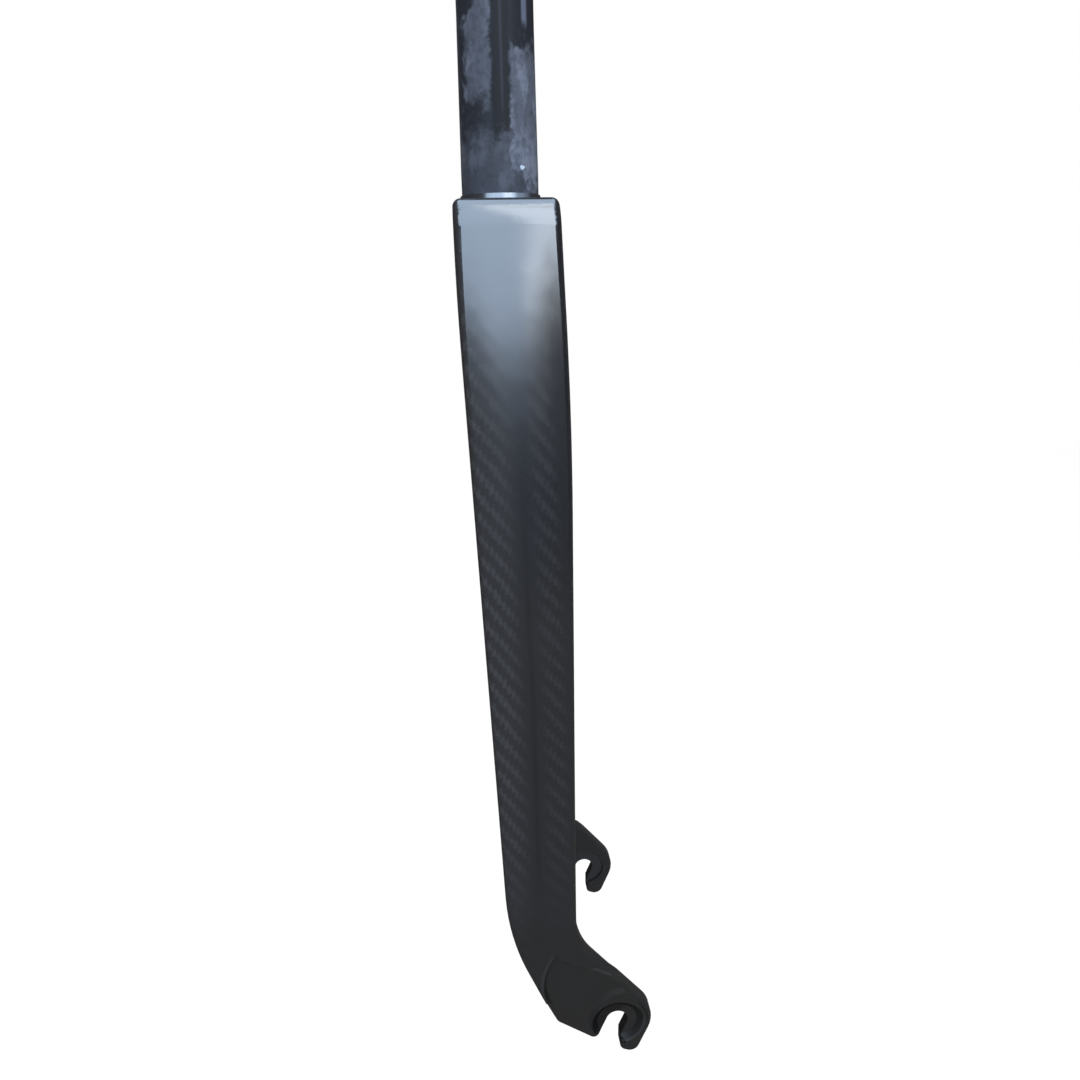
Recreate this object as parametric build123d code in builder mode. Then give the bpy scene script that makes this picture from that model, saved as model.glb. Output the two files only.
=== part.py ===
from build123d import *
import os

# Rigid fork for a rim-braked bicycle wheel, in millimetres
# Origin on the steerer axis at the crown seat, +Z up the steerer, +X to the front, +Y to the left

# Wheel and axle
axle_drop = 365.0
fork_offset = 40.0
hub_spacing = 100.0
axle_slot_width = 10.2
axle_slot_angle = 22.0

# Steerer tube
steerer_diameter = 28.6
steerer_bore = 23.0
steerer_length = 300.0
steerer_edge = 0.6
race_seat_step = 0.7
race_seat_height = 8.0
race_seat_taper = 55.0
socket_depth = 20.0

# Crown
crown_front = 19.5
crown_rear = 19.1
crown_fall = 3.0
crown_depth = 24.0
shoulder_radius = 13.0
seat_ring_diameter = 31.2
seat_ring_height = 4.5
seat_ring_spread = 2.4
arch_corner_radius = 16.0
brake_hole_drop = 13.0
brake_bolt_diameter = 6.2
brake_nut_diameter = 8.2

# Blades
gauge_drop = 43.5
gauge_width = 79.0
gauge_gap = 39.0
tip_above_axle = 62.0
tip_inset = 0.5
tip_depth = 14.5
blank_share = 0.75
crown_face_radius = 600.0
upper_face_radius = 70.0
upper_face_drop = 75.0
middle_face_radius = 52.0
middle_face_drop = 190.0
tip_face_radius = 62.0
dropout_face_radius = 300.0
ridge_top_x = 1.5
ridge_middle_x = 4.2
ridge_behind_axle = 35.3
ridge_end_behind_axle = 11.0
dropout_crest = 3.0
front_swell_drop = 82.0
front_swell_x = 22.9
front_tip_behind_axle = 18.9
rear_straight_drop = 38.0
rear_tip_above_axle = 53.0
rear_tip_behind_axle = 49.6
swell_radius = 1500.0
front_bend_radius = 28.0
rear_bend_radius = 110.0
outer_edge_radius = 3.0
inner_edge_radius = 2.4
inner_bend_radius = 40.0
inner_bend_above_axle = 43.0

# Dropouts
dropout_thickness = 8.4
boss_height = 1.0
boss_radius = 18.0
boss_center = (4.5, 3.0)
boss_taper = 70.0
boss_edge = 0.7
hook_radius = 16.4
hook_edge = 1.6
hook_inner_edge = 0.8
front_edge_angle = 39.5
rear_edge_angle = 23.5
heel_behind_axle = 28.3
heel_above_axle = 2.9
heel_radius = 4.5
heel_angle = 36.0
prong_tip_radius = 2.8
beak_length = 16.0
beak_tip_radius = 4.5
beak_inner_radius = 3.0
mouth_depth = 8.0
panel_front_rise = 19.4
panel_peak = (-29.5, 42.7)
panel_wall = (-34.5, 27.4)
panel_rear = (-32.7, 17.0)
panel_corner_rise = 17.5
outer_recess_diameter = 25.0
outer_recess_depth = 2.2
outer_recess_taper = 55.0
inner_recess_diameter = 23.0
inner_recess_depth = 0.9
panel_peak_radius = 3.0
panel_overlap = 3.0
panel_proud = 0.2
prong_length = 11.0

inner_face = hub_spacing / 2 - inner_recess_depth
outer_face = inner_face + dropout_thickness
panel_face = outer_face - boss_height
tip_drop = axle_drop - tip_above_axle
tip_outer = outer_face - tip_inset
tip_inner = tip_outer - tip_depth
lowest_drop = axle_drop + hook_radius
ridge_tip_x = fork_offset - ridge_behind_axle
ridge_end_x = fork_offset - ridge_end_behind_axle
blank_half_length = 1.5 * fork_offset
seat_diameter = steerer_diameter + 2 * race_seat_step


def blade_share(drop):
    return (drop - gauge_drop) / (tip_drop - gauge_drop)


def blade_outer(drop):
    return gauge_width / 2 + (tip_outer - gauge_width / 2) * blade_share(drop)


def blade_inner(drop):
    return gauge_gap / 2 + (tip_inner - gauge_gap / 2) * blade_share(drop)


crown_outer = blade_outer(0)
upper_outer = blade_outer(upper_face_drop)
middle_outer = blade_outer(middle_face_drop)


def blank_section(drop, ridge_x, face_radius, outer):
    """Wide section of the right leg from the middle of the fork out to its crowned face."""
    half_length = min(blank_share * face_radius, blank_half_length)
    edge = outer - face_radius + (face_radius**2 - half_length**2) ** 0.5
    with BuildSketch(Plane((ridge_x, 0, -drop))) as section:
        with BuildLine():
            ThreePointArc((-half_length, -edge), (0, -outer), (half_length, -edge))
            Polyline((half_length, -edge), (half_length, 0), (-half_length, 0), (-half_length, -edge))
        make_face()
    return section.sketch


# Limits that tell faces and edges apart: parts of a normal, and a distance from the middle plane
level = 0.01
steep = 0.9
clear = 1.0

# Straight edges of the dropout in the side view, about the axle: x to the front, y up
axle = Vector(fork_offset, -axle_drop)
front_normal = Vector(1, 0).rotate(Axis.Z, front_edge_angle)
front_up = Vector(0, 1).rotate(Axis.Z, front_edge_angle)
rear_up = Vector(0, 1).rotate(Axis.Z, rear_edge_angle)
rear_out = Vector(-1, 0).rotate(Axis.Z, rear_edge_angle)
slot_normal = Vector(1, 0).rotate(Axis.Z, -axle_slot_angle)
slot_down = Vector(0, -1).rotate(Axis.Z, -axle_slot_angle)
heel = Vector(-heel_behind_axle, heel_above_axle)
front_rise = -(front_tip_behind_axle + (front_normal * hook_radius).X) / front_up.X
front_bend = front_normal * hook_radius + front_up * front_rise
front_low = front_normal * hook_radius
rear_low = heel + rear_up * (front_low.Y - heel_above_axle) / rear_up.Y
panel_front = front_low + front_up * panel_front_rise
beak_side = slot_normal * hook_radius
beak_end = slot_down * beak_length
mouth = slot_normal * axle_slot_width / 2 + slot_down * mouth_depth
prong = heel + Vector(1, 0).rotate(Axis.Z, -heel_angle) * heel_behind_axle
brake_plane = Plane((0, 0, -brake_hole_drop), x_dir=(0, 1, 0), z_dir=(1, 0, 0))
axle_plane = Plane((fork_offset, -inner_face, -axle_drop), x_dir=(1, 0, 0), z_dir=(0, -1, 0))

# Plate of the right dropout, hooked round the axle slot
with BuildPart() as dropout:
    with BuildSketch(axle_plane) as outline:
        with BuildLine():
            Line(panel_front, front_low)
            RadiusArc(front_low, beak_side, hook_radius)
            Polyline(
                beak_side,
                beak_side + beak_end,
                beak_end,
                prong,
                heel,
                heel + rear_up * panel_corner_rise + rear_out * panel_proud,
                Vector(*panel_wall) + Vector(-panel_overlap, 0),
                Vector(*panel_peak) + Vector(-panel_overlap, panel_overlap),
                panel_front + Vector(-panel_overlap, panel_overlap),
                panel_front,
            )
        make_face()
        Circle(axle_slot_width / 2, mode=Mode.SUBTRACT)
        with Locations(beak_end):
            Rectangle(axle_slot_width, 2 * beak_length, rotation=-axle_slot_angle, mode=Mode.SUBTRACT)
        with Locations(mouth):
            Rectangle(axle_slot_width, 2 * beak_length, align=(Align.MAX, Align.MAX), mode=Mode.SUBTRACT)
        beak_corner = mouth + Vector(0, mouth_depth - beak_length)
        prong_tip = slot_down * prong_length - slot_normal * axle_slot_width / 2
        fillet(outline.vertices().sort_by_distance(heel)[0], heel_radius)
        fillet(outline.vertices().sort_by_distance(beak_side + beak_end)[0], beak_tip_radius)
        fillet(outline.vertices().sort_by_distance(beak_corner)[0], beak_inner_radius)
        fillet(outline.vertices().sort_by_distance(prong_tip)[0], prong_tip_radius)
    extrude(amount=panel_face - inner_face)
    fillet(dropout.faces().sort_by(Axis.Y)[0].edges(), hook_edge)
    chamfer(dropout.faces().sort_by(Axis.Y)[-1].edges(), hook_inner_edge)

# Boss round the axle slot, ramped up from the panel
with BuildPart() as boss:
    with BuildSketch(axle_plane.offset(panel_face - inner_face)):
        offset(outline.sketch_local, amount=-hook_edge)
    extrude(amount=boss_height)
    chamfer(boss.faces().sort_by(Axis.Y)[0].edges(), boss_edge)
    with BuildSketch(axle_plane.offset(panel_face - inner_face)):
        with Locations(boss_center):
            Circle(boss_radius)
    extrude(amount=boss_height, taper=boss_taper, mode=Mode.INTERSECT)

with BuildPart() as fork_body:
    # Right leg with a crowned outer face, rounded over at the shoulder
    loft(
        [
            blank_section(0, ridge_top_x, crown_face_radius, crown_outer),
            blank_section(upper_face_drop, ridge_top_x, upper_face_radius, upper_outer),
            blank_section(middle_face_drop, ridge_middle_x, middle_face_radius, middle_outer),
            blank_section(tip_drop, ridge_tip_x, tip_face_radius, tip_outer),
            blank_section(lowest_drop, ridge_end_x, dropout_face_radius, outer_face + dropout_crest),
        ]
    )
    shoulder = fork_body.faces().sort_by(Axis.Z)[-1].edges().sort_by(Axis.Y)[0]
    fillet(shoulder, shoulder_radius)

    # Side view of crown, blade and dropout
    with BuildSketch(Plane.XZ):
        with BuildLine():
            FilletPolyline(
                (crown_front, -crown_fall),
                (front_swell_x, -front_swell_drop),
                axle + front_bend,
                axle + front_low,
                radius=[swell_radius, front_bend_radius],
            )
            FilletPolyline(
                (-crown_rear, -crown_fall),
                (-crown_rear, -rear_straight_drop),
                (fork_offset - rear_tip_behind_axle, rear_tip_above_axle - axle_drop),
                axle + rear_low,
                radius=[swell_radius, rear_bend_radius],
            )
            Line((crown_front, -crown_fall), (-crown_rear, -crown_fall))
            Line(axle + front_low, axle + rear_low)
        make_face()
    extrude(amount=2 * outer_face, mode=Mode.INTERSECT)
    sides = fork_body.faces().filter_by(lambda face: abs(face.normal_at().Y) < level)
    sides = sides.filter_by(lambda face: abs(face.normal_at().Z) < steep)
    crown_top = fork_body.faces().sort_by(Axis.Z)[-1]
    outer_edges = sides.edges().filter_by(Axis.Y, reverse=True) + crown_top.edges()
    fillet(outer_edges.filter_by(lambda edge: edge.center().Y < -clear), outer_edge_radius)

    # Gap for the wheel, with an arched top
    with BuildSketch(Plane.YZ):
        with BuildLine():
            FilletPolyline(
                (0, -crown_depth),
                (-blade_inner(crown_depth), -crown_depth),
                (-tip_inner, -tip_drop),
                (-inner_face, inner_bend_above_axle - axle_drop),
                (-inner_face, -2 * axle_drop),
                radius=[arch_corner_radius, inner_bend_radius, inner_bend_radius],
            )
            Polyline((-inner_face, -2 * axle_drop), (0, -2 * axle_drop), (0, -crown_depth))
        make_face()
    extrude(amount=2 * fork_offset, both=True, mode=Mode.SUBTRACT)
    walls = fork_body.faces(Select.LAST).filter_by(lambda face: abs(face.normal_at().X) < level)
    walls = walls.filter_by(lambda face: face.center().Y < -clear)
    inner_edges = walls.edges().filter_by(Axis.X, reverse=True).sort_by(SortBy.LENGTH)
    fillet(inner_edges[-2:], inner_edge_radius)

    # Lower end of the blade, stepped down to the panel of the dropout
    with BuildSketch(Plane.XZ) as panel:
        with BuildLine():
            wall = ThreePointArc(*[axle + Vector(*point) for point in (panel_peak, panel_wall, panel_rear)])
            crease = Vector(*panel_peak) - panel_front
            Polyline(
                wall @ 1,
                wall @ 1 + rear_out * hook_radius,
                axle + rear_low - rear_up * hook_radius + rear_out * hook_radius,
                axle + front_low - crease,
                axle + panel_front - crease,
                wall @ 0,
            )
        make_face()
        fillet(panel.vertices().sort_by_distance(wall @ 0)[0], panel_peak_radius)
    extrude(amount=2 * outer_face, mode=Mode.SUBTRACT)
    add([dropout.part, boss.part])
    with BuildSketch(axle_plane.offset(dropout_thickness)):
        Circle(outer_recess_diameter / 2)
    extrude(amount=-outer_recess_depth, taper=outer_recess_taper, mode=Mode.SUBTRACT)
    with BuildSketch(axle_plane):
        Circle(inner_recess_diameter / 2)
    extrude(amount=inner_recess_depth, mode=Mode.SUBTRACT)
    mirror(about=Plane.XZ)

    # Raised ring under the crown race, the socket for the steerer, open below, and the brake bolt hole
    with Locations((0, 0, -seat_ring_height)):
        Cone(
            bottom_radius=(seat_ring_diameter + seat_ring_spread) / 2,
            top_radius=seat_ring_diameter / 2,
            height=seat_ring_height,
            align=(Align.CENTER, Align.CENTER, Align.MIN),
        )
    CounterBoreHole(
        radius=steerer_bore / 2,
        counter_bore_radius=steerer_diameter / 2,
        counter_bore_depth=socket_depth,
        depth=2 * crown_depth,
    )
    with BuildSketch(brake_plane):
        Circle(brake_bolt_diameter / 2)
    extrude(amount=2 * crown_front, mode=Mode.SUBTRACT)
    with BuildSketch(brake_plane):
        Circle(brake_nut_diameter / 2)
    extrude(amount=-2 * crown_rear, mode=Mode.SUBTRACT)

# Steerer tube with the crown race seat at its foot, bonded into the socket
with BuildPart() as steerer_tube:
    with BuildSketch(Plane.XZ):
        with BuildLine():
            Polyline(
                (steerer_bore / 2, -socket_depth),
                (steerer_diameter / 2, -socket_depth),
                (steerer_diameter / 2, 0),
                (seat_diameter / 2, 0),
                (seat_diameter / 2, race_seat_height),
                (steerer_diameter / 2, race_seat_height + race_seat_taper),
                (steerer_diameter / 2, steerer_length),
                (steerer_bore / 2, steerer_length),
                close=True,
            )
        make_face()
    revolve(axis=Axis.Z)
    chamfer(steerer_tube.edges().group_by(Axis.Z)[-1], steerer_edge)
    with BuildSketch(brake_plane):
        Circle(brake_bolt_diameter / 2)
    extrude(amount=seat_diameter, mode=Mode.SUBTRACT)
    with BuildSketch(brake_plane):
        Circle(brake_nut_diameter / 2)
    extrude(amount=-seat_diameter, mode=Mode.SUBTRACT)

fork_body.part.label = "fork_body"
steerer_tube.part.label = "steerer_tube"
os.makedirs("parts", exist_ok=True)
export_step(fork_body.part, "parts/fork_body.step")
export_step(steerer_tube.part, "parts/steerer_tube.step")
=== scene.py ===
import math
import bpy
from mathutils import Matrix, Vector

# Rigid bicycle fork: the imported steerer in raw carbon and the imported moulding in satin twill
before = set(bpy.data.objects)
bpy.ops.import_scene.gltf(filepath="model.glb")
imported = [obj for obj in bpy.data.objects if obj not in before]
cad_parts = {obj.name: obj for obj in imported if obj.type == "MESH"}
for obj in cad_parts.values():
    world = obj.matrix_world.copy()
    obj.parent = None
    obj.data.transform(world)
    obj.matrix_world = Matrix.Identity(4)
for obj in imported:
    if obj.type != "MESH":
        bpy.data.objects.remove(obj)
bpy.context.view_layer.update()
scene = bpy.context.scene
scene.view_settings.view_transform = "Standard"

mm_per_metre = 1000.0


def paint(red, green, blue):
    """Solid colour."""
    return (red, green, blue, 1.0)


class Nodes:
    """Short hand for adding and joining nodes in one tree."""

    # Numbers of the sockets that the Mix node uses for colours and for plain values
    color_first, color_second, color_result = 6, 7, 2
    value_first, value_second, value_result = 2, 3, 0

    def __init__(self, tree):
        self.tree = tree

    def add(self, kind, **values):
        node = self.tree.nodes.new(kind)
        for key, value in values.items():
            setattr(node, key, value)
        return node

    def put(self, socket, value):
        if isinstance(value, bpy.types.NodeSocket):
            self.tree.links.new(value, socket)
        elif value is not None:
            socket.default_value = value

    def math(self, operation, first, second=None):
        node = self.add("ShaderNodeMath", operation=operation)
        for socket, value in zip(node.inputs, (first, second)):
            self.put(socket, value)
        return node.outputs[0]

    def times(self, first, *others):
        for other in others:
            first = self.math("MULTIPLY", first, other)
        return first

    def plus(self, first, *others):
        for other in others:
            first = self.math("ADD", first, other)
        return first

    def less(self, first, second):
        return self.math("SUBTRACT", first, second)

    def either(self, first, *others):
        """The strongest of several masks."""
        for other in others:
            first = self.math("MAXIMUM", first, other)
        return first

    def ramp(self, value, start, end, low=0.0, high=1.0, smooth=True):
        """From low at start to high at end, level outside."""
        node = self.add("ShaderNodeMapRange")
        node.interpolation_type = "SMOOTHSTEP" if smooth else "LINEAR"
        self.put(node.inputs["Value"], value)
        self.put(node.inputs["From Min"], start)
        self.put(node.inputs["From Max"], end)
        self.put(node.inputs["To Min"], low)
        self.put(node.inputs["To Max"], high)
        return node.outputs["Result"]

    def share(self, mask, low, high):
        """Low where the mask is 0, high where it is 1."""
        return self.ramp(mask, 0, 1, low, high, smooth=False)

    def window(self, value, start, end, soft):
        """1 between start and end, with soft borders inside them."""
        rise = self.ramp(value, start, start + soft)
        return self.times(rise, self.ramp(value, end, end - soft))

    def mix(self, factor, first, second):
        """From one colour to another."""
        node = self.add("ShaderNodeMix", data_type="RGBA")
        self.put(node.inputs["Factor"], factor)
        self.put(node.inputs[self.color_first], first)
        self.put(node.inputs[self.color_second], second)
        return node.outputs[self.color_result]

    def blend(self, factor, first, second):
        """From one value to another."""
        node = self.add("ShaderNodeMix", data_type="FLOAT")
        self.put(node.inputs["Factor"], factor)
        self.put(node.inputs[self.value_first], first)
        self.put(node.inputs[self.value_second], second)
        return node.outputs[self.value_result]

    def noise(self, vector, scale, detail=2.0, roughness=0.5):
        node = self.add("ShaderNodeTexNoise")
        self.put(node.inputs["Vector"], vector)
        self.put(node.inputs["Scale"], scale)
        node.inputs["Detail"].default_value = detail
        node.inputs["Roughness"].default_value = roughness
        return node.outputs["Fac"]

    def wander(self, vector, scale, **values):
        """Noise to both sides of zero."""
        return self.less(self.noise(vector, scale, **values), 0.5)

    def split(self, vector):
        node = self.add("ShaderNodeSeparateXYZ")
        self.put(node.inputs[0], vector)
        return node.outputs

    def stretch(self, vector, scale):
        node = self.add("ShaderNodeVectorMath", operation="MULTIPLY")
        self.put(node.inputs[0], vector)
        node.inputs[1].default_value = scale
        return node.outputs[0]

    def bump(self, height, strength, distance):
        node = self.add("ShaderNodeBump")
        node.inputs["Strength"].default_value = strength
        node.inputs["Distance"].default_value = distance
        self.put(node.inputs["Height"], height)
        return node.outputs["Normal"]

    def group(self, tree, **values):
        node = self.add("ShaderNodeGroup", node_tree=tree)
        for key, value in values.items():
            self.put(node.inputs[key.capitalize()], value)
        return node.outputs

    def seen(self):
        """1 for the camera, in reflections and through glass, 0 for light on other surfaces."""
        rays = self.add("ShaderNodeLightPath").outputs
        kinds = ("Is Camera Ray", "Is Glossy Ray", "Is Transmission Ray")
        return self.either(*(rays[kind] for kind in kinds))

    def join(self, factor, first, second):
        """From one shader to another."""
        node = self.add("ShaderNodeMixShader")
        for socket, value in zip(node.inputs, (factor, first, second)):
            self.put(socket, value)
        return node.outputs[0]


class Skin(Nodes):
    """Nodes of one material, with the colour that is built up on it."""

    def __init__(self, name):
        self.material = bpy.data.materials.new(name)
        self.material.use_nodes = True
        self.material.node_tree.nodes.clear()
        self.color = None
        super().__init__(self.material.node_tree)

    def place(self):
        """Object coordinates in millimetres."""
        metres = self.add("ShaderNodeTexCoord").outputs["Object"]
        return self.stretch(metres, (mm_per_metre, mm_per_metre, mm_per_metre))

    def tint(self, mask, color):
        """Lay a colour over what is there."""
        self.color = self.mix(mask, self.color, color)

    def close(self, surface):
        output = self.add("ShaderNodeOutputMaterial")
        self.put(output.inputs["Surface"], surface)
        return self.material


def new_group(name, inputs, outputs):
    """Empty shader group with named inputs, each with its kind and value, and plain outputs."""
    tree = bpy.data.node_groups.new(name, "ShaderNodeTree")
    for label, kind, value in inputs:
        socket = tree.interface.new_socket(name=label, in_out="INPUT", socket_type=kind)
        if value is not None:
            socket.default_value = value
    for label in outputs:
        tree.interface.new_socket(name=label, in_out="OUTPUT", socket_type="NodeSocketFloat")
    n = Nodes(tree)
    return tree, n, n.add("NodeGroupInput").outputs, n.add("NodeGroupOutput").inputs


def twill_cloth():
    """Two over, two under: which strand lies on top, its own shade, and its round back."""
    repeat = 4.0
    comes_up, goes_down = (-0.1, 0.95), (2.5, 1.45)
    middle = 0.5
    row_seed, column_seed = 0.37, 0.11
    inputs = [("Across", "NodeSocketFloat", 0.0), ("Along", "NodeSocketFloat", 0.0)]
    tree, n, given, result = new_group("twill_cloth", inputs, ["Over", "Strand", "Swell"])
    column = n.math("FLOOR", given["Across"])
    row = n.math("FLOOR", given["Along"])
    turn = n.math("FLOORED_MODULO", n.plus(column, given["Along"]), repeat)
    over = n.times(n.ramp(turn, *comes_up), n.ramp(turn, *goes_down))
    from_column = n.less(n.math("FRACT", given["Across"]), middle)
    from_row = n.less(n.math("FRACT", given["Along"]), middle)
    offset = n.blend(over, from_row, from_column)
    swell = n.less(1.0, n.times(offset, offset, 1 / middle ** 2))
    dice = n.add("ShaderNodeTexWhiteNoise", noise_dimensions="1D")
    draw = n.blend(over, n.plus(row, row_seed), n.plus(column, column_seed))
    n.put(dice.inputs["W"], draw)
    n.put(result["Over"], over)
    n.put(result["Strand"], dice.outputs["Value"])
    n.put(result["Swell"], swell)
    return tree


def patchy_film():
    """Soft-edged patches, as of uneven lacquer or rubbed resin, and their fine grain."""
    grains_per_patch = 40.0
    inputs = [
        ("Place", "NodeSocketVector", None),
        ("Fineness", "NodeSocketFloat", 0.05),
        ("Start", "NodeSocketFloat", 0.45),
        ("End", "NodeSocketFloat", 0.6),
    ]
    tree, n, given, result = new_group("patchy_film", inputs, ["Mask", "Grain"])
    patches = n.noise(given["Place"], given["Fineness"], detail=4.0, roughness=0.6)
    n.put(result["Mask"], n.ramp(patches, given["Start"], given["End"]))
    grain = n.noise(given["Place"], n.times(given["Fineness"], grains_per_patch))
    n.put(result["Grain"], grain)
    return tree


twill = twill_cloth()
film = patchy_film()

# From here to the stage, places and sizes are in millimetres on the part's own axes. Two numbers
# tell where a mark begins and where it is full. Three tell its two ends and the width of the
# soft borders inside them. A depth is the share of a mark's colour that is laid on.

# Cloth of the crown, blades and dropouts
strand_width, strand_rise = 1.76, 2.25
strand_edge = (-0.6, 0.8)
dullest_strand = 0.65
drift_fineness = 0.04
fray_fineness, fray_reach = 0.55, 1.1
top_slope = 0.75
ridge_line = ((-75, 1.5), (-190, 4.2), (-303, 4.7), (-381, 14.0))
rear_half_start = (-1, -11)
front_half_span, front_half_weave = (2, 16, 5), 0.42
front_and_back_weave = 0.55
weave_below_crown, crown_weave = (-20, -50), 0.1
weave_above_dropout, dropout_weave = (-250, -308), 0.08

front_ground = paint(0.0126, 0.0124, 0.0134)
# Lighter ground on the rear half of the sides: painted sheen
rear_sheen_ground = paint(0.0176, 0.0174, 0.0194)
# Darker ground on the upper front of the sides: painted shade
upper_painted_shade = paint(0.0055, 0.0062, 0.0088)
upper_shade_height, upper_shade_front = (-175, -110), (-6, 2)
dropout_ground = paint(0.0118, 0.0111, 0.0104)
dropout_height = (-285, -325)
strand_color = paint(0.034, 0.034, 0.0368)

# Satin coat
lacquer_patches = {"fineness": 0.035, "start": 0.4, "end": 0.65}
lacquer_color, lacquer_depth = paint(0.013, 0.0135, 0.0155), 0.25
lacquer_roughness = (0.42, 0.5)
strand_polish = -0.06
coat_roughness = 0.185
coat_ior = 2.0
full_coat, thin_coat = 1.0, 0.04
cloth_specular = 0.1
weave_relief, coat_grain = 0.2, 0.6
cloth_bump, cloth_bump_metres = 0.12, 0.00012

# Dark line along the ridge
seam_border = (1.7, 0.3)
seam_top, seam_foot = (-85, -130), (-300, -262)
seam_color, seam_depth = paint(0.004, 0.004, 0.0045), 0.3

# Painted highlight on the ring at the steerer's foot
ring_height = (-3.4, -2.8)
ring_radius_squared = (310, 290)
ring_highlight_width, ring_highlight_side = (-8, 12, 5), (0, -6)
ring_highlight_color, ring_highlight_depth = paint(0.12, 0.14, 0.17), 0.9

# Edge of the dropout's panel: painted shade in the corner, painted highlight on the rim
wall_x, wall_z, wall_radius = 33.15, -338.17, 27.66
wall_height, wall_front = (-352, -320, 4), (20, 15)
corner_shade_width, rim_highlight_width = (-1.5, 0.2, 0.6), (0.0, 1.8, 0.7)
corner_shade_color, corner_shade_depth = paint(0.002, 0.002, 0.002), 0.85
rim_highlight_color, rim_highlight_depth = paint(0.026, 0.027, 0.029), 0.5

# Recess and slot round the axle
axle_x, axle_z = 40.0, -365.0
upper_rear = (-0.7, 0.7)
flat_slope = (0.45, 0.6)
shade_ring, shade_side = (5, 12.6, 0.8), (1, 5)
shade_color, shade_depth = paint(0.0025, 0.0025, 0.0027), 0.8
# Painted highlight on the lower edge of the recess
edge_highlight_ring, edge_highlight_side = (11.6, 13.2, 0.6), (-6, -9)
edge_highlight_color, edge_highlight_depth = paint(0.045, 0.046, 0.048), 0.35
slot_reach = (15.0, 14.2)
slot_wall_slope, slot_bare_slope = (0.9, 0.6), (0.98, 0.9)
# Painted shade on the walls of the slot
slot_shade_color, slot_shade_depth = paint(0.004, 0.004, 0.0042), 0.75
hub_ring, hub_slope = (11.0, 10.4), (0.85, 0.95)
hub_grain, hub_depth = (0.2, 0.8), (0.4, 0.9)
hub_color = paint(0.024, 0.024, 0.0248)


def ridge_x(n, height):
    """Where the ridge of the blade's outer face runs, from point to point of its line."""
    x = ridge_line[0][1]
    for (upper_z, upper_x), (lower_z, lower_x) in zip(ridge_line, ridge_line[1:]):
        step = n.ramp(height, upper_z, lower_z, 0, lower_x - upper_x, smooth=False)
        x = n.plus(x, step)
    return x


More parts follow.
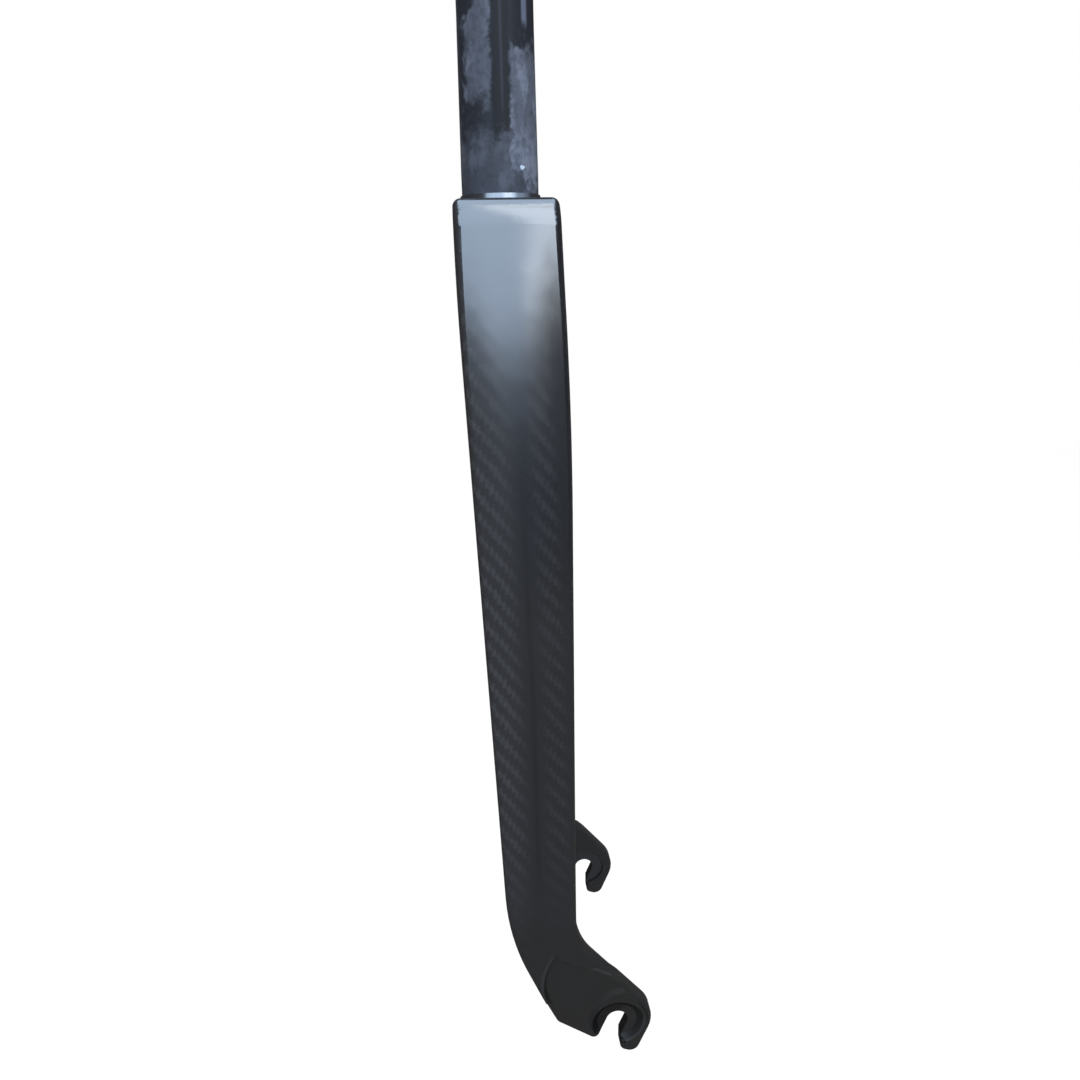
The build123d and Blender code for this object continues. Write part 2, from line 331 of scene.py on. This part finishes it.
def satin_carbon():
    """Twill under a satin coat on crown, blades and dropouts."""
    n = Skin("satin_carbon")
    place = n.place()
    px, py, pz = n.split(place)
    facing = n.split(n.add("ShaderNodeTexCoord").outputs["Normal"])
    nx, ny, nz = [n.math("ABSOLUTE", part) for part in facing]
    on_side = n.math("GREATER_THAN", ny, nx)
    on_top = n.math("GREATER_THAN", nz, top_slope)
    outward = n.math("GREATER_THAN", n.times(py, facing[1]), 0.0)
    inward = n.less(1.0, outward)
    from_ridge = n.less(px, ridge_x(n, pz))

    def distance(center_x, center_z):
        """Distance in the side view from an axis across the fork."""
        aside = n.less(px, center_x)
        above = n.less(pz, center_z)
        return n.math("SQRT", n.plus(n.times(aside, aside), n.times(above, above)))

    # Cloth, with its strands a little astray
    across = n.math("DIVIDE", n.blend(on_side, py, from_ridge), strand_width)
    along = n.math("DIVIDE", n.blend(on_top, pz, py), strand_rise)
    drift = n.wander(place, drift_fineness)
    fray = n.times(n.wander(place, fray_fineness), fray_reach)
    cloth = n.group(twill, across=n.plus(across, drift, fray), along=n.plus(along, drift, fray))
    lacquer = n.group(film, place=place, **lacquer_patches)

    # The weave is real; showing it stronger on the rear half of the sides is painted sheen
    rear_half = n.ramp(from_ridge, *rear_half_start)
    front_half = n.times(n.window(from_ridge, *front_half_span), front_half_weave)
    show = n.blend(on_side, front_and_back_weave, n.plus(rear_half, front_half))
    show = n.times(show, n.ramp(pz, *weave_above_dropout, 1.0, dropout_weave))
    show = n.times(show, n.ramp(pz, *weave_below_crown, crown_weave, 1.0))
    strand = n.times(cloth["Over"], n.ramp(cloth["Swell"], *strand_edge))
    strand = n.times(strand, n.share(cloth["Strand"], dullest_strand, 1.0), show)

    # Lighter ground on the rear half of the sides: painted sheen
    n.color = n.mix(n.times(rear_half, on_side), front_ground, rear_sheen_ground)
    # Darker ground on the upper front of the sides: painted shade
    upper_shade = n.times(n.ramp(pz, *upper_shade_height), n.ramp(from_ridge, *upper_shade_front), on_side)
    n.tint(upper_shade, upper_painted_shade)
    n.tint(n.ramp(pz, *dropout_height), dropout_ground)
    n.tint(strand, strand_color)
    n.tint(n.times(lacquer["Mask"], lacquer_depth), lacquer_color)

    seam = n.times(n.ramp(n.math("ABSOLUTE", from_ridge), *seam_border), on_side)
    seam = n.times(seam, n.ramp(pz, *seam_top), n.ramp(pz, *seam_foot))
    n.tint(n.times(seam, seam_depth), seam_color)

    # Painted highlight on the near side of the ring at the steerer's foot
    radius_squared = n.plus(n.times(px, px), n.times(py, py))
    ring_highlight = n.times(n.ramp(pz, *ring_height), n.ramp(radius_squared, *ring_radius_squared))
    ring_highlight = n.times(ring_highlight, n.window(px, *ring_highlight_width), n.ramp(py, *ring_highlight_side))
    n.tint(n.times(ring_highlight, ring_highlight_depth), ring_highlight_color)

    # Edge of the dropout's panel: painted shade in the corner, a painted highlight on the rim
    # above it
    from_wall = n.less(distance(wall_x, wall_z), wall_radius)
    wall = n.times(n.window(pz, *wall_height), n.ramp(px, *wall_front), outward)
    n.tint(n.times(n.window(from_wall, *corner_shade_width), wall, corner_shade_depth), corner_shade_color)
    n.tint(n.times(n.window(from_wall, *rim_highlight_width), wall, rim_highlight_depth), rim_highlight_color)

    # Round the axle: painted shade on the upper edge of the recess, a painted highlight on its
    # lower edge, painted shade on the walls of the slot, and the hub's grey print on the inner
    # face
    from_axle = distance(axle_x, axle_z)
    toward_rear = n.times(n.less(px, axle_x), upper_rear[0])
    toward = n.plus(toward_rear, n.times(n.less(pz, axle_z), upper_rear[1]))
    outer_flat = n.times(n.ramp(ny, *flat_slope), outward)
    shade = n.times(n.window(from_axle, *shade_ring), n.ramp(toward, *shade_side), outer_flat)
    n.tint(n.times(shade, shade_depth), shade_color)
    edge_highlight = n.times(n.window(from_axle, *edge_highlight_ring), n.ramp(toward, *edge_highlight_side), outer_flat)
    n.tint(n.times(edge_highlight, edge_highlight_depth), edge_highlight_color)
    by_slot = n.ramp(from_axle, *slot_reach)
    # Painted shade on the walls of the slot
    n.tint(n.times(by_slot, n.ramp(ny, *slot_wall_slope), slot_shade_depth), slot_shade_color)
    hub_print = n.times(n.ramp(from_axle, *hub_ring), n.ramp(ny, *hub_slope), inward)
    n.tint(n.times(hub_print, n.ramp(lacquer["Grain"], *hub_grain, *hub_depth)), hub_color)

    bare = n.either(hub_print, n.times(by_slot, n.ramp(ny, *slot_bare_slope)))
    rough = n.plus(n.share(lacquer["Mask"], *lacquer_roughness), n.times(strand, strand_polish))
    weave_height = n.times(cloth["Swell"], n.plus(show, weave_relief))
    height = n.plus(weave_height, n.times(lacquer["Grain"], coat_grain))
    shader = n.add("ShaderNodeBsdfPrincipled")
    n.put(shader.inputs["Base Color"], n.color)
    n.put(shader.inputs["Roughness"], rough)
    n.put(shader.inputs["Coat Weight"], n.share(bare, full_coat, thin_coat))
    n.put(shader.inputs["Coat Roughness"], coat_roughness)
    n.put(shader.inputs["Coat IOR"], coat_ior)
    n.put(shader.inputs["Specular IOR Level"], cloth_specular)
    n.put(shader.inputs["Normal"], n.bump(height, cloth_bump, cloth_bump_metres))
    return n.close(shader.outputs[0])


# Bare resin of the steerer and how far its rub marks stray
resin_dark = paint(0.0165, 0.0178, 0.022)
tall_patches = (1.0, 1.0, 0.55)
cloudy_patches = {"fineness": 0.11, "start": 0.42, "end": 0.62}
fine_patches = {"fineness": 0.42, "start": 0.33, "end": 0.55}
sway_fineness = 0.22
sway_across, sway_up, sway_deep = 9.0, 30.0, 10.0
near_side, far_side = (2, -5), (-6, 4)
raw_roughness = (0.45, 0.62)
raw_specular = 0.12
raw_bump, raw_bump_metres = 0.2, 0.00015

# Matte patches
rubbed_color = paint(0.117, 0.13, 0.166)
left_step, left_edges, left_border = (54, 66), (-13.5, -9.8), 2.5
left_end, left_height, left_depth = (-1.8, -4.3), (26, 100, 12), 0.8
right_width, right_height = (2.4, 18, 3), (0, 53, 8)
foot_height, foot_depth = (26, 14), 0.42
back_height, back_depth = (70, 95), 0.6
cloudy_thin, fine_thin = 0.5, 0.68

# Painted dark reflection in a band down the near side
dark_reflection_sway = 3.0
dark_reflection_width, dark_reflection_height = (-3.4, 4.4, 1.3), (17, 100, 7)
dark_reflection_color, dark_reflection_depth = paint(0.008, 0.0084, 0.01), 0.8
dark_reflection_rub = 0.06

# Thin pale upright line, a painted highlight streak, rings near the foot, and one pale chip
pale_line_width, pale_line_height, pale_line_depth = (0.2, 1.7, 0.5), (24, 90, 10), 0.14
highlight_streak_width, highlight_streak_height, highlight_streak_sway = (8.4, 11.2, 0.9), (55, 84, 4), 8.0
line_and_highlight_color, line_and_highlight_depth = paint(0.088, 0.1, 0.138), 0.9
ring_fineness, ring_detail, ring_sway = 1.3, 3.0, 5.0
ring_edge, rings_height, rings_width = (0.58, 0.68), (4, 10, 2), (1, 15, 4)
rings_color, rings_depth, rings_sunk = paint(0.11, 0.122, 0.15), 0.35, -0.6
chip_at_x, chip_at_z, chip_squat = 7.9, 8.9, 1.6
chip_fineness, chip_rough, chip_border = 1.1, 5.0, (1.0, 0.4)
chip_color = paint(0.36, 0.42, 0.5)


def raw_carbon():
    """Bare resin of the steerer, rubbed matte in patches."""
    n = Skin("raw_carbon")
    place = n.place()
    px, py, pz = n.split(place)
    cloudy = n.group(film, place=n.stretch(place, tall_patches), **cloudy_patches)
    fine = n.group(film, place=place, **fine_patches)
    sway = n.wander(place, sway_fineness, detail=4.0, roughness=0.65)

    def swayed(value, reach):
        return n.plus(value, n.times(sway, reach))

    rub_x = swayed(px, sway_across)
    rub_z = swayed(pz, sway_up)
    near = n.ramp(swayed(py, sway_deep), *near_side)
    left_edge = n.ramp(pz, *left_step, *left_edges)
    left_rub = n.ramp(rub_x, left_edge, n.plus(left_edge, left_border))
    left_rub = n.times(left_rub, n.ramp(rub_x, *left_end))
    left_rub = n.times(left_rub, n.window(rub_z, *left_height), near, left_depth)
    right_rub = n.times(n.window(rub_x, *right_width), n.window(rub_z, *right_height), near)
    foot_rub = n.times(n.ramp(rub_z, *foot_height), near, foot_depth)
    at_back = n.either(n.ramp(py, *far_side), n.ramp(rub_z, *back_height))
    back_rub = n.times(cloudy["Mask"], at_back, back_depth)
    # Painted dark reflection in a band down the near side, with fewer matte patches in it
    dark_reflection = n.times(n.window(swayed(px, dark_reflection_sway), *dark_reflection_width), near)
    dark_reflection = n.times(dark_reflection, n.window(rub_z, *dark_reflection_height))
    worn = n.either(left_rub, right_rub, foot_rub, back_rub)
    worn = n.times(worn, n.share(cloudy["Mask"], cloudy_thin, 1.0))
    worn = n.times(worn, n.share(fine["Mask"], fine_thin, 1.0))
    worn = n.times(worn, n.share(dark_reflection, 1.0, dark_reflection_rub))
    n.color = n.mix(n.times(dark_reflection, dark_reflection_depth), resin_dark, dark_reflection_color)
    n.tint(worn, rubbed_color)

    pale_line = n.times(n.window(px, *pale_line_width), n.window(pz, *pale_line_height), near)
    # Painted highlight streak high on the near side
    highlight_streak = n.window(swayed(pz, highlight_streak_sway), *highlight_streak_height)
    highlight_streak = n.times(n.window(px, *highlight_streak_width), highlight_streak, near)
    pale_line_and_highlight = n.either(n.times(pale_line, pale_line_depth), highlight_streak)
    n.tint(n.times(pale_line_and_highlight, line_and_highlight_depth), line_and_highlight_color)

    rings = n.add("ShaderNodeTexNoise", noise_dimensions="1D")
    n.put(rings.inputs["W"], swayed(pz, ring_sway))
    n.put(rings.inputs["Scale"], ring_fineness)
    n.put(rings.inputs["Detail"], ring_detail)
    ring_marks = n.times(n.ramp(rings.outputs["Fac"], *ring_edge), n.window(pz, *rings_height))
    ring_marks = n.times(ring_marks, n.window(rub_x, *rings_width))
    n.tint(n.times(ring_marks, rings_depth), rings_color)

    chip_x = n.less(px, chip_at_x)
    chip_z = n.less(pz, chip_at_z)
    chip_edge = n.times(n.wander(place, chip_fineness, detail=3.0), chip_rough)
    from_chip = n.plus(n.times(chip_x, chip_x), n.times(chip_z, chip_z, chip_squat), chip_edge)
    n.tint(n.times(n.ramp(from_chip, *chip_border), near), chip_color)

    height = n.plus(fine["Grain"], n.times(ring_marks, rings_sunk))
    shader = n.add("ShaderNodeBsdfPrincipled")
    n.put(shader.inputs["Base Color"], n.color)
    n.put(shader.inputs["Roughness"], n.share(worn, *raw_roughness))
    n.put(shader.inputs["Specular IOR Level"], raw_specular)
    n.put(shader.inputs["Normal"], n.bump(height, raw_bump, raw_bump_metres))
    return n.close(shader.outputs[0])


for name, material in (("fork_body", satin_carbon()), ("steerer_tube", raw_carbon())):
    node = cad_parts[name]
    node.data.materials.clear()
    node.data.materials.append(material)

# Stage, in metres
floor_z = -0.62
floor_front, floor_reach = -0.12, 2.2
floor_color = paint(0.9, 0.9, 0.9)
floor_white = 0.95
room_half, room_top, room_gap = 2.7, 2.7, 0.01
room_color, room_level = paint(1.0, 0.97, 0.93), 0.075
fill_color, fill_level = paint(1.0, 0.93, 0.84), 0.55
backdrop_color = paint(1.0, 1.0, 1.0)


def pale_floor():
    """Nearly white to the camera and in reflections; the rest of it keeps the fork's shadow."""
    n = Skin("pale_floor")
    diffuse = n.add("ShaderNodeBsdfDiffuse")
    n.put(diffuse.inputs["Color"], floor_color)
    glow = n.add("ShaderNodeEmission")
    n.put(glow.inputs["Strength"], 1.0)
    return n.close(n.join(n.times(n.seen(), floor_white), diffuse.outputs[0], glow.outputs[0]))


def dim_card(name, color, level):
    n = Skin(name)
    glow = n.add("ShaderNodeEmission")
    n.put(glow.inputs["Color"], color)
    n.put(glow.inputs["Strength"], level)
    return n.close(glow.outputs[0])


def stage_mesh(name, corners, faces, material):
    mesh = bpy.data.meshes.new(name)
    mesh.from_pydata(corners, [], faces)
    mesh.materials.append(material)
    stand = bpy.data.objects.new(name, mesh)
    scene.collection.objects.link(stand)
    return stand


floor_corners = [
    (-floor_reach, floor_front, floor_z),
    (floor_reach, floor_front, floor_z),
    (floor_reach, floor_reach, floor_z),
    (-floor_reach, floor_reach, floor_z),
]
stage_mesh("floor", floor_corners, [(0, 1, 2, 3)], pale_floor())

# Dim room that only reflections see, to keep the satin sides dark
room_corners = [
    (x * room_half, y * room_half, z)
    for z in (floor_z + room_gap, room_top)
    for x, y in ((-1, -1), (1, -1), (1, 1), (-1, 1))
]
room_faces = [(0, 1, 2, 3), (4, 5, 6, 7), (0, 1, 5, 4), (1, 2, 6, 5), (2, 3, 7, 6), (3, 0, 4, 7)]
room_card = dim_card("dim_room", room_color, room_level)
room = stage_mesh("dim_room", room_corners, room_faces, room_card)
room.visible_camera = False
room.visible_diffuse = False
room.visible_shadow = False
room.visible_transmission = False

# World: white to the camera and in reflections, a soft warm fill for the rest
world = bpy.data.worlds.new("room")
scene.world = world
world.use_nodes = True
world.node_tree.nodes.clear()
n = Nodes(world.node_tree)
fill = n.add("ShaderNodeBackground")
n.put(fill.inputs["Color"], fill_color)
n.put(fill.inputs["Strength"], fill_level)
backdrop = n.add("ShaderNodeBackground")
n.put(backdrop.inputs["Color"], backdrop_color)
output = n.add("ShaderNodeOutputWorld")
n.put(output.inputs["Surface"], n.join(n.seen(), fill.outputs[0], backdrop.outputs[0]))

# Lights, placed by the degrees at which the crown sees them from straight ahead
crown_face = Vector((0.0, -0.038, -0.035))
daylight = (0.6, 0.77, 1.0)
lamp_white = (0.96, 0.96, 0.94)
warm_white = (1.0, 0.97, 0.94)


def area_light(name, azimuth, elevation, reach, size, radiance, color, shape="RECTANGLE"):
    """Soft light that faces the crown."""
    around, above = math.radians(azimuth), math.radians(elevation)
    level = math.cos(above)
    toward = Vector((math.sin(around) * level, -math.cos(around) * level, math.sin(above)))
    filled = math.pi / 4 if shape == "ELLIPSE" else 1.0
    light = bpy.data.lights.new(name, "AREA")
    light.shape = shape
    light.size, light.size_y = size
    light.energy = radiance * math.pi * size[0] * size[1] * filled
    light.color = color
    lamp = bpy.data.objects.new(name, light)
    lamp.location = crown_face + toward * reach
    lamp.rotation_euler = (-toward).to_track_quat("-Z", "Y").to_euler()
    scene.collection.objects.link(lamp)
    return lamp


area_light("window", azimuth=-2, elevation=33, reach=2.2, size=(3.8, 2.664), radiance=3.9,
           color=daylight, shape="ELLIPSE")
area_light("skylight", azimuth=0, elevation=87.5, reach=2.2, size=(2.6, 1.8), radiance=3.7,
           color=daylight)
area_light("lamp", azimuth=21, elevation=39.2, reach=2.0, size=(0.86, 2.7), radiance=2.6,
           color=lamp_white)
back_fill = area_light("back_fill", azimuth=195, elevation=30, reach=2.4, size=(2.6, 2.2),
                       radiance=3.6, color=warm_white)
back_fill.visible_glossy = False

# Camera at the photograph's place
camera_place = Vector((-0.01951, -0.34691, -0.02822))
right = Vector((0.99489032, -0.09928782, -0.01830774))
up = Vector((0.04835866, 0.30945381, 0.94968404))
back = Vector((-0.08862666, -0.9457168, 0.31267403))
camera = bpy.data.cameras.new("camera")
camera.sensor_width = 36.0
camera.lens = 27.225
camera.clip_start = 0.01
viewer = bpy.data.objects.new("camera", camera)
turn = Matrix((right, up, back)).transposed().to_4x4()
viewer.matrix_world = Matrix.Translation(camera_place) @ turn
scene.collection.objects.link(viewer)
scene.camera = viewer
